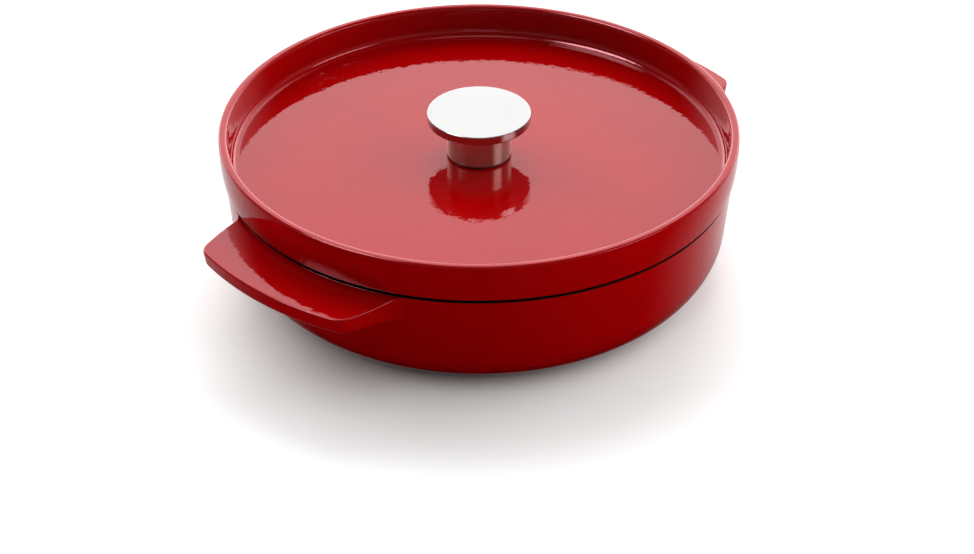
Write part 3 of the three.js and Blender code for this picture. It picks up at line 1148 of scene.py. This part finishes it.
@dataclass
class Studio:
    """A pale floor, soft light from behind and from the sides, and the photograph's camera.

    The light's spans and bands are parts of a direction of length 1: how far it points up, or to the back.
    """

    floor_half: float = 6.0
    floor_points: int = 9
    azimuth_deg: float = -48.70
    elevation_deg: float = 30.28
    distance: float = 1.4125
    focal_px: float = 2509.3
    frame_width_px: float = 974.0
    aim_turn_deg: float = -0.21
    aim_drop_deg: float = 3.488
    sensor: float = 36.0
    card_radius: float = 0.19
    card_fade: float = 0.11
    card_columns: int = 64
    # The card's black is painted shade: the pot's shadow on the floor, as the enamel mirrors it.
    painted_shade_colour: Colour = (0.002, 0.002, 0.002, 1.0)
    dim_light: float = 0.06
    wall_light: float = 1.95
    wall_sides: Span = (0.30, 0.75)
    wall_top: Span = (0.70, 0.90)
    band_light: float = 1.3
    band_sides: Span = (0.5, 0.85)
    band_top: Span = (0.32, 0.44)
    zenith_light: float = 1.2
    zenith_edge: Span = (0.97, 0.995)
    bar: Lamp = Lamp(-110.0, 30.0, (0.95, 0.995), 12.0)
    bar_rise: Band = (0.455, 0.485, 0.53, 0.56)
    small_box: Lamp = Lamp(96.0, 58.0, (0.955, 0.992), 13.0)
    ring_light: float = 0.4
    ring_gap: Span = (0.1, 0.5)
    ring_rise: Band = (0.03, 0.10, 0.30, 0.38)
    right_wash: Lamp = Lamp(-78.0, 6.0, (0.55, 0.95), 5.8)
    left_wash: Lamp = Lamp(55.0, 6.0, (0.55, 0.92), 4.2)
    rear_box: Lamp = Lamp(0.0, 47.0, (0.90, 0.98), 5.8)
    front_fill: Lamp = Lamp(-180.0, 64.0, (0.88, 0.97), 1.3)
    ceiling_light: float = 0.1
    ceiling_edge: Span = (0.55, 0.95)
    below_light: float = 1.0
    below_sides: Span = (-0.1, 1.0)
    below_edge: Span = (-0.85, -0.5)
    horizon: Span = (-0.08, 0.02)

    @staticmethod
    def direction(azimuth_deg: float, elevation_deg: float) -> Vector:
        """Gives the direction from the pot to a camera or a light.

        Args:
            azimuth_deg: Its turn about Z, with 0 towards -Y.
            elevation_deg: Its angle over the floor.

        Returns:
            The direction, of length 1.
        """
        turn = math.radians(azimuth_deg)
        rise = math.radians(elevation_deg)
        return Vector((math.sin(turn) * math.cos(rise), -math.cos(turn) * math.cos(rise), math.sin(rise)))

    def camera(self, target: Vector) -> None:
        """Sets the camera.

        Args:
            target: The middle of the lid's rim, which the viewing angle is measured from.
        """
        data = bpy.data.cameras.new("photo_camera")
        data.sensor_width = self.sensor
        data.lens = self.focal_px * self.sensor / self.frame_width_px
        camera = bpy.data.objects.new("photo_camera", data)
        bpy.context.scene.collection.objects.link(camera)
        camera.location = target + self.distance * self.direction(self.azimuth_deg, self.elevation_deg)
        axis = self.direction(self.azimuth_deg + self.aim_turn_deg, self.elevation_deg + self.aim_drop_deg)
        camera.rotation_mode = "QUATERNION"
        camera.rotation_quaternion = (-axis).to_track_quat("-Z", "Y")
        bpy.context.scene.camera = camera

    def floor(self) -> None:
        """Lays the floor: a flat pale grid that isn't mirrored in the enamel."""
        line = np.linspace(-self.floor_half, self.floor_half, self.floor_points)
        x, y = np.meshgrid(line, line)
        points = np.stack([x, y, np.zeros_like(x)], axis=2).reshape(-1, 3)
        index = np.arange(len(points)).reshape(x.shape)
        quads = np.stack([index[:-1, :-1], index[:-1, 1:], index[1:, 1:], index[1:, :-1]], axis=2)
        mesh = bpy.data.meshes.new("floor")
        mesh.from_pydata(points.tolist(), [], quads.reshape(-1, 4).tolist())
        mesh.materials.append(PALE_FLOOR.material())
        floor = bpy.data.objects.new("floor", mesh)
        bpy.context.scene.collection.objects.link(floor)
        floor.visible_glossy = False

    def painted_shade_card(self) -> None:
        """Lays a round black card with a fading edge under the pot: painted shade that stands in for the
        pot's shadow on the floor, and shows only in reflections.
        """
        section = Section(np.array([[0.0, 0.0], [self.card_radius, 0.0]]), np.zeros(2))
        grid, bends = turned_grid(section, self.card_columns)
        fade = (self.card_radius - self.card_fade, self.card_radius)
        finish = PaintedShadeCard("painted_floor_shade", self.painted_shade_colour, fade)
        painted_shade_card = mesh_piece("painted_shade_card", grid, bends, [finish.material()])
        # Painted shade: the card shows only in reflections, as the shaded floor under the pot.
        painted_shade_card.visible_camera = False
        painted_shade_card.visible_diffuse = False
        painted_shade_card.visible_shadow = False

    def light(self) -> None:
        """Lights the studio from all round, white to the camera.

        Over the horizon the front is dim. A wall of light behind the pot with a brighter band low down, and
        a small light overhead, show in the enamel and the steel. So do a thin bar at the right, a small box
        high at the left and a faint low ring round the rest, which only make reflections. A wide light at
        each side, a box high behind, a fill high in front and an even ceiling only soften the shading. Below
        the horizon, where only the enamel looks, light grows smoothly from front to back and fades straight
        down.
        """
        world = bpy.data.worlds.new("studio")
        world.use_nodes = True
        bpy.context.scene.world = world
        board = NodeBoard(world.node_tree)
        toward = board.node("ShaderNodeTexCoord", output="Generated")
        x = board.node("ShaderNodeSeparateXYZ", None, {"Vector": toward}, "X")
        y = x.other("Y")
        up = x.other("Z")

        def along(azimuth_deg: float, elevation_deg: float) -> Value:
            """Gives how far a direction points towards another."""
            way = self.direction(azimuth_deg, elevation_deg)
            return x * way.x + y * way.y + up * way.z

        behind = self.azimuth_deg + 180.0

        def glow(lamp: Lamp) -> Value:
            """Gives a lamp's light in each direction."""
            facing = along(behind + lamp.turn_deg, lamp.rise_deg)
            return facing.smooth_step(*lamp.edge) * lamp.strength

        back = along(behind, 0.0)
        wall = back.smooth_step(*self.wall_sides) * (1.0 - up.smooth_step(*self.wall_top)) * self.wall_light
        band = back.smooth_step(*self.band_sides) * (1.0 - up.smooth_step(*self.band_top)) * self.band_light
        zenith = up.smooth_step(*self.zenith_edge) * self.zenith_light
        always = wall + zenith + band + self.dim_light
        bar = glow(self.bar) * up.within(*self.bar_rise)
        ring = (1.0 - back.smooth_step(*self.ring_gap)) * up.within(*self.ring_rise) * self.ring_light
        reflected = bar + glow(self.small_box) + ring
        ceiling = up.smooth_step(*self.ceiling_edge) * self.ceiling_light
        washes = glow(self.right_wash) + glow(self.left_wash)
        softening = washes + glow(self.rear_box) + glow(self.front_fill) + ceiling
        mirrored = board.node("ShaderNodeLightPath", output="Is Glossy Ray")
        above = always + reflected * mirrored + softening * (1.0 - mirrored)
        below = back.smooth_step(*self.below_sides) * up.smooth_step(*self.below_edge) * self.below_light
        level = up.smooth_step(*self.horizon)
        strength = above * level + below * (1.0 - level)
        surround = board.node("ShaderNodeBackground", None, {"Color": WHITE, "Strength": strength})
        backdrop = board.node("ShaderNodeBackground", None, {"Color": WHITE, "Strength": 1.0})
        seen = board.node("ShaderNodeLightPath", output="Is Camera Ray")
        mixed = board.node("ShaderNodeMixShader", None, {0: seen, 1: surround, 2: backdrop})
        board.node("ShaderNodeOutputWorld", None, {"Surface": mixed})


def main() -> None:
    """Builds the pieces, dresses the CAD nodes that stay, and sets the studio."""
    logging.basicConfig(level=logging.INFO, format="%(message)s")
    bpy.context.scene.view_settings.view_transform = "Standard"
    enamels = [RED_ENAMEL.material(), BLACK_ENAMEL.material(), RIM_ENAMEL_AND_SEAM_SHADE.material()]
    plain = PLAIN_STEEL.material()
    pot = PotCasting(height=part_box("pot_body")[1].z)
    seat(pot.build(enamels), "pot", "red_enamel", "pot_body")
    lid = LidCasting(top=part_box("lid")[1].z, pot=pot)
    seat(lid.build(enamels), "lid_assembly", "red_enamel", "lid")
    knob = Knob()
    seat(knob.cap(CAP_STEEL.material()), "lid_assembly", "brushed_steel", "knob_cap")
    stem = knob.ring("knob_stem_tube", "knob_stem", knob.stem_round, STEM_STEEL.material())
    seat(stem, "lid_assembly", "brushed_steel", "knob_stem")
    gasket = knob.ring("knob_gasket_ring", "knob_gasket", knob.gasket_round, DARK_SILICONE.material())
    seat(gasket, "lid_assembly", "silicone", "knob_gasket")
    knob.dress_fastening(plain)
    studio = Studio()
    studio.floor()
    studio.painted_shade_card()
    studio.light()
    studio.camera(Vector((0.0, 0.0, lid.top)))


if __name__ == "__main__":
    main()
